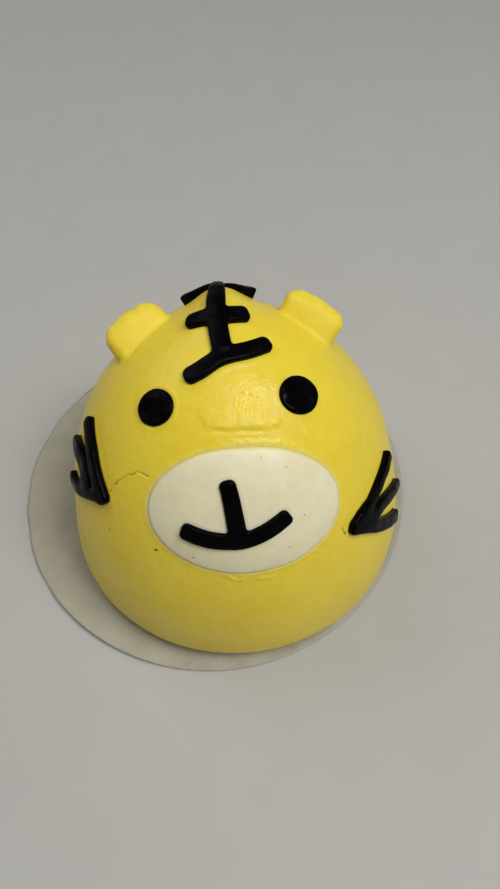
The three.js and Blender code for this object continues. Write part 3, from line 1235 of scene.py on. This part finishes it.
class BUN_OT_set_stage(bpy.types.Operator):
    """Sets up the camera, the pale floor and the soft lights"""

    bl_idname = "bun.set_stage"
    bl_label = "Set the stage"

    def execute(self, context):
        stage = context.scene.bun_stage
        self.add_camera(context, stage)
        self.add_floor(context)
        for name, light in LIGHTS.items():
            power = getattr(stage, name)
            self.add_light(context, f"{name}_light", light["place"], light["size"], power)
        world = bpy.data.worlds.new("soft_surround")
        world.use_nodes = True
        background = world.node_tree.nodes["Background"]
        background.inputs["Color"].default_value = (*context.scene.bun_colours.surround, 1)
        background.inputs["Strength"].default_value = stage.ambient
        context.scene.world = world
        context.scene.view_settings.view_transform = "Standard"
        return {"FINISHED"}

    def add_camera(self, context, stage):
        """The camera looks along +Y and down, leaning a little."""
        forward = Vector((0, math.cos(stage.pitch), -math.sin(stage.pitch)))
        down = Vector((0, -math.sin(stage.pitch), -math.cos(stage.pitch)))
        right = Vector((1, 0, 0))
        lean_right = right * math.cos(stage.roll) - down * math.sin(stage.roll)
        lean_down = right * math.sin(stage.roll) + down * math.cos(stage.roll)
        turned = Matrix((lean_right, -lean_down, -forward)).transposed().to_4x4()
        data = bpy.data.cameras.new("camera")
        data.lens = stage.lens
        data.sensor_width = SENSOR
        data.clip_start = NEAREST_SEEN
        camera = add_object(context, "camera", data)
        camera.matrix_world = Matrix.Translation(stage.camera_place) @ turned
        context.scene.camera = camera

    def add_floor(self, context):
        """A floor just under the paper, flat for a way and then sweeping up all round."""
        swept = np.linspace(FLOOR["flat"], FLOOR["reach"], FLOOR["rings"])
        radii = np.array([FLOOR["middle"], *swept])
        climb = (radii - FLOOR["flat"]).clip(0) / (FLOOR["reach"] - FLOOR["flat"])
        rise = np.concatenate([[0], np.repeat(FLOOR["height"] * climb**2, FLOOR["sides"])])
        points = np.column_stack([disc_points(radii, FLOOR["sides"]), rise - FLOOR["drop"]])
        faces = disc_faces(len(radii), FLOOR["sides"])
        mesh = smooth_mesh(context, "floor", points, faces, "floor")
        add_object(context, "floor", mesh)

    def add_light(self, context, name, place, size, power):
        """A square soft light that faces the bun."""
        data = bpy.data.lights.new(name, "AREA")
        data.size = size
        data.energy = power
        light = add_object(context, name, data)
        light.location = place
        aim = LIT_POINT - Vector(place)
        light.rotation_euler = aim.to_track_quat("-Z", "Y").to_euler()


class BUN_OT_shape_body(bpy.types.Operator):
    """Shapes the yellow head, with rims round its marks, a crack, creases and a scuff"""

    bl_idname = "bun.shape_body"
    bl_label = "Shape the head"

    def execute(self, context):
        sizes = context.scene.bun_dome
        dome = Dome(sizes)
        edges = [mark.rim(dome) for mark in all_marks()]
        rims = Traces(np.vstack(edges))
        folds = Traces(np.vstack([*edges, *[traced(dome, crease["path"]) for crease in CREASES]]))
        half = SCUFF["patch"]["half"]
        ticks = np.linspace(-half, half, SCUFF["patch"]["ticks"])
        patch = np.array(SCUFF["middle"]) + np.array(list(product(ticks, repeat=2)))
        tear_line = traced(dome, TEAR["path"])
        opened = [traced(dome, CRACK["path"]), tear_line, dome.on_face(patch)]
        points, faces = taken_apart(dough_shell(dome, folds, Traces(np.vstack(opened))))

        crack_line = traced(dome, CRACK["path"], **CRACK["wander"])
        distance, index = Traces(crack_line).nearest(points)
        opening = CRACK["usual"] + waved(points, CRACK["opening"])
        openness = np.clip(opening, CRACK["least"], 1)
        split = fading(distance, CRACK["spread"]) * openness
        crack_shade = CRACK["dark"] - CRACK["fainter"] * index / len(crack_line)
        pitted = self.near(dome.on_face(PITS["spots"]), points, PITS)
        beaded = self.near(dome.on_face(BEADS["spots"]), points, BEADS)
        parted = self.near(tear_line, points, TEAR)
        scuff, rough = scuffed(dome, points)

        height = rim_relief(rims.distance(points)) - CRACK["depth"] * split
        height += BEADS["height"] * beaded - PITS["depth"] * pitted
        height += rough - TEAR["depth"] * parted
        for number, crease in enumerate(CREASES):
            height += crease_relief(dome, crease, points, number)
        points = points + dome.normals(points) * height[:, None]
        points[:, 2] = np.maximum(points[:, 2], sizes.base / MM)

        # Painted shade: darker in the crack, the pits and the tear, and along the muzzle's rim.
        # Beside the rim, painted light scattered in from the muzzle.
        seam = Traces(edges[0]).distance(points)
        stain = crack_shade * split + PITS["dark"] * pitted + TEAR["dark"] * parted
        stain = np.clip(stain + MUZZLE_RIM_SHADE["dark"] * fading(seam, MUZZLE_RIM_SHADE["spread"]), 0, 1)
        bleed = HEAD_SCATTERED_LIGHT["share"] * fading(seam, HEAD_SCATTERED_LIGHT["spread"])
        marks = dict(stain=stain, scuff=scuff, bleed=bleed)
        add_piece(context, "yellow_head", points, faces, "yellow", "bun_body", marks=marks)
        return {"FINISHED"}

    def near(self, spots, points, trace):
        """How near points are to any of some spots, fading over a trace's spread."""
        return fading(Traces(spots).distance(points), trace["spread"])


class BUN_OT_add_ears(bpy.types.Operator):
    """Adds both ears, pillowy tabs that run smoothly into the head"""

    bl_idname = "bun.add_ears"
    bl_label = "Add the ears"

    def execute(self, context):
        dome = Dome(context.scene.bun_dome)
        for ear in EARS:
            self.add_ear(context, dome, ear)
        return {"FINISHED"}

    def add_ear(self, context, dome, ear):
        sizes = context.scene.bun_ears
        place, _, _, out = dome.stand_at(*ear["spot"])
        bearing = math.radians(ear["bearing"])
        level = np.array([math.cos(bearing), math.sin(bearing), 0])
        along = unit(level - out * (level @ out))
        back = np.cross(out, along)

        def field(points):
            offset = points - place
            behind, rise = offset @ back, offset @ out
            climbed = rise / ear["height"]
            across = offset @ along - ear["lean"] * rise
            half = ear["width"] / 2 * (1 + ear["flare"] * (np.clip(climbed, 0, 1) - 1))
            inward = 1 - np.minimum((across / half) ** 2, 1)
            side = np.abs(across) - half
            cap = rise - ear["height"] - ear["tilt"] * across - ear["arch"] * inward
            bulge = inward * np.clip(1 - (climbed - EAR_FULLEST) ** 2, 0, 1) - 0.5
            thick = ear["depth"] / 2 + sizes.pillow / MM * bulge
            ragged = waved(np.stack([across, rise], axis=1), EAR_RAGGED)
            tab = rounded_both(side, cap, sizes.corner / MM) + ragged
            tab = rounded_both(tab, behind - thick, sizes.edge / MM)
            tab = rounded_both(tab, sizes.slope * rise - behind - thick, sizes.edge / MM)
            head = dome.height_over(points)
            joined = melted(tab, head + EAR_SKIRT["lift"], sizes.fillet / MM)
            cut = np.linalg.norm(offset, axis=1) - EAR_SKIRT["reach"]
            return np.maximum(np.maximum(joined, cut), -head - EAR_SKIRT["depth"])

        reach = EAR_SKIRT["reach"] + 1
        points, faces = skin(field, place - reach, place + reach, EAR_CELL)
        name = ear["name"]
        add_piece(context, f"ear_tab_{name}", points, faces, "ear", f"ear_{name}")


class BUN_OT_add_muzzle(bpy.types.Operator):
    """Adds the pale oval muzzle, sunk a little under the mouth's edge"""

    bl_idname = "bun.add_muzzle"
    bl_label = "Add the muzzle"

    def execute(self, context):
        dome = Dome(context.scene.bun_dome)
        muzzle = Pat(MUZZLE, RELIEF["muzzle"], **MUZZLE_FORM)
        muzzle.cell = MUZZLE_CELL
        points, faces, normals = muzzle.drape(dome)
        mouth = StripMark(MOUTH, RELIEF["mouth"])
        rims = Traces(mouth.rim(dome, lift=RELIEF["muzzle"][0]))
        relief = MOUTH_RIM_SHARE * rim_relief(rims.distance(points))
        points = points + normals * relief[:, None]
        # Painted yellow light, scattered in from the head, along the muzzle's rim.
        distance = Traces(muzzle.rim(dome)).distance(points)
        bleed = MUZZLE_SCATTERED_LIGHT["share"] * fading(distance, MUZZLE_SCATTERED_LIGHT["spread"])
        marks = dict(bleed=bleed)
        add_piece(context, "pale_muzzle", points, faces, "pale", "muzzle", marks=marks)
        return {"FINISHED"}


class BUN_OT_add_eyes(bpy.types.Operator):
    """Adds the two black eyes, flat pats with a thumbed dent"""

    bl_idname = "bun.add_eyes"
    bl_label = "Add the eyes"

    def execute(self, context):
        dome = Dome(context.scene.bun_dome)
        for eye in EYES:
            points, faces, _ = Pat(eye, RELIEF["eye"], **EYE_FORM).drape(dome)
            name = eye["name"]
            add_piece(context, f"eye_pat_{name}", points, faces, "black", f"eye_{name}")
        return {"FINISHED"}


class BUN_OT_add_stripes(bpy.types.Operator):
    """Adds the black strips: the mouth, the forehead's stripes and the cheeks' strokes"""

    bl_idname = "bun.add_stripes"
    bl_label = "Add the stripes"

    def execute(self, context):
        on_muzzle = RELIEF["muzzle"][0]
        self.add_mark(context, MOUTH, "mouth", "mouth_strips", "mouth", lift=on_muzzle)
        self.add_mark(context, FOREHEAD, "stripe", "forehead_strips", "forehead_mark")
        for cheek in CHEEKS:
            name = cheek["name"]
            node = f"cheek_mark_{name}"
            self.add_mark(context, cheek, "whisker", f"cheek_strips_{name}", node)
        return {"FINISHED"}

    def add_mark(self, context, shape, relief, name, node, lift=0.0):
        dome = Dome(context.scene.bun_dome)
        points, faces, _ = StripMark(shape, RELIEF[relief]).drape(dome, lift)
        add_piece(context, name, points, faces, "black", node)


class BUN_OT_add_specks(bpy.types.Operator):
    """Adds small specks of bran that show in the dough"""

    bl_idname = "bun.add_specks"
    bl_label = "Add the bran specks"

    def execute(self, context):
        dome = Dome(context.scene.bun_dome)
        muzzle = Pat(MUZZLE, RELIEF["muzzle"])
        specks = bmesh.new()
        for number, speck in enumerate(SPECKS):
            flat = np.array([speck["at"]], float)
            on_muzzle = muzzle.outline(flat)[0] < -SPECK_MARGIN
            lift = RELIEF["muzzle"][0] if on_muzzle else 0.0
            self.add_speck(specks, dome, flat, np.array(speck["size"]), lift, number)
        points, faces = taken_apart(specks)
        add_piece(context, "bran_specks", points, faces, "bran")
        return {"FINISHED"}

    def add_speck(self, specks, dome, flat, size, lift, number):
        """A flattened, uneven grain that lies in the skin and just clears it."""
        made = bmesh.ops.create_icosphere(specks, subdivisions=2, radius=1)["verts"]
        ball = places(made)
        ball = ball * (1 + waved(ball, SPECK_UNEVEN, number))[:, None]
        points, normals = dome.walk(FACE, flat + ball[:, :2] * size / 2)
        place_all(made, points + normals * (lift + ball[:, 2:] * SPECK_HALF_THICKNESS))


class BUN_OT_lay_paper(bpy.types.Operator):
    """Lays the round steaming paper, its rim lifting in low waves"""

    bl_idname = "bun.lay_paper"
    bl_label = "Lay the paper"

    def execute(self, context):
        sizes = context.scene.bun_paper
        radius = sizes.radius / MM
        radii = radius * np.linspace(0, 1, PAPER_RINGS + 1)[1:] ** PAPER_RING_POWER
        flat = disc_points(radii, PAPER_SIDES)
        height = self.rise(flat, radius, sizes)
        under = np.column_stack([flat, height])
        over = np.column_stack([flat, height + sizes.thickness / MM])
        faces = disc_faces(PAPER_RINGS, PAPER_SIDES)
        upper = [tuple(index + len(flat) for index in face) for face in faces]
        lower = [face[::-1] for face in faces]
        last = len(flat) - PAPER_SIDES
        edge = []
        for side in range(PAPER_SIDES):
            here, ahead = last + side, last + (side + 1) % PAPER_SIDES
            edge.append((here, ahead, ahead + len(flat), here + len(flat)))
        points = np.vstack([under, over])
        faces = upper + lower + edge
        add_piece(context, "steaming_paper", points, faces, "paper", "paper_liner", shift=0)
        return {"FINISHED"}

    def rise(self, flat, radius, sizes):
        """Height of the paper's underside: flat under the bun, waving and cockled at the rim."""
        held = sizes.flat_radius / MM
        out = np.maximum(np.linalg.norm(flat, axis=1) - held, 0) / (radius - held)
        around = np.arctan2(flat[:, 1], flat[:, 0])
        ripple = sum(high * np.sin(count * around + turn) for count, high, turn in RIPPLES)
        cockle = sum(waved(flat, kind) for kind in COCKLES)
        rise = (sizes.curl / MM + ripple) * out**2 + cockle * out
        return np.maximum(rise, sizes.least_rise / MM)


class BUN_PT_panel(bpy.types.Panel):
    """Every size, colour and piece of the bun"""

    bl_idname = "BUN_PT_panel"
    bl_label = "Tiger face bun"
    bl_space_type = "VIEW_3D"
    bl_region_type = "UI"
    bl_category = "Bun"

    def draw(self, context):
        scene = context.scene
        for title, group in (
            ("Head", scene.bun_dome),
            ("Ears", scene.bun_ears),
            ("Paper", scene.bun_paper),
            ("Colours", scene.bun_colours),
            ("Stage", scene.bun_stage),
        ):
            box = self.layout.box()
            box.label(text=title)
            for name in group.__annotations__:
                box.prop(group, name)
        for operator in OPERATORS:
            self.layout.operator(operator.bl_idname)


GROUPS = dict(
    bun_dome=DomeSizes,
    bun_ears=EarSizes,
    bun_paper=PaperSizes,
    bun_colours=BunColours,
    bun_stage=StageSettings,
)
OPERATORS = (
    BUN_OT_set_stage,
    BUN_OT_lay_paper,
    BUN_OT_shape_body,
    BUN_OT_add_ears,
    BUN_OT_add_muzzle,
    BUN_OT_add_eyes,
    BUN_OT_add_stripes,
    BUN_OT_add_specks,
)


def register():
    for group in GROUPS.values():
        bpy.utils.register_class(group)
    for name, group in GROUPS.items():
        setattr(bpy.types.Scene, name, PointerProperty(type=group))
    for operator in OPERATORS:
        bpy.utils.register_class(operator)
    bpy.utils.register_class(BUN_PT_panel)


def unregister():
    bpy.utils.unregister_class(BUN_PT_panel)
    for operator in reversed(OPERATORS):
        bpy.utils.unregister_class(operator)
    for name, group in GROUPS.items():
        delattr(bpy.types.Scene, name)
        bpy.utils.unregister_class(group)


def main():
    """Makes the whole bun."""
    register()
    bpy.ops.bun.set_stage()
    bpy.ops.bun.lay_paper()
    bpy.ops.bun.shape_body()
    bpy.ops.bun.add_ears()
    bpy.ops.bun.add_muzzle()
    bpy.ops.bun.add_eyes()
    bpy.ops.bun.add_stripes()
    bpy.ops.bun.add_specks()


if __name__ == "__main__":
    main()
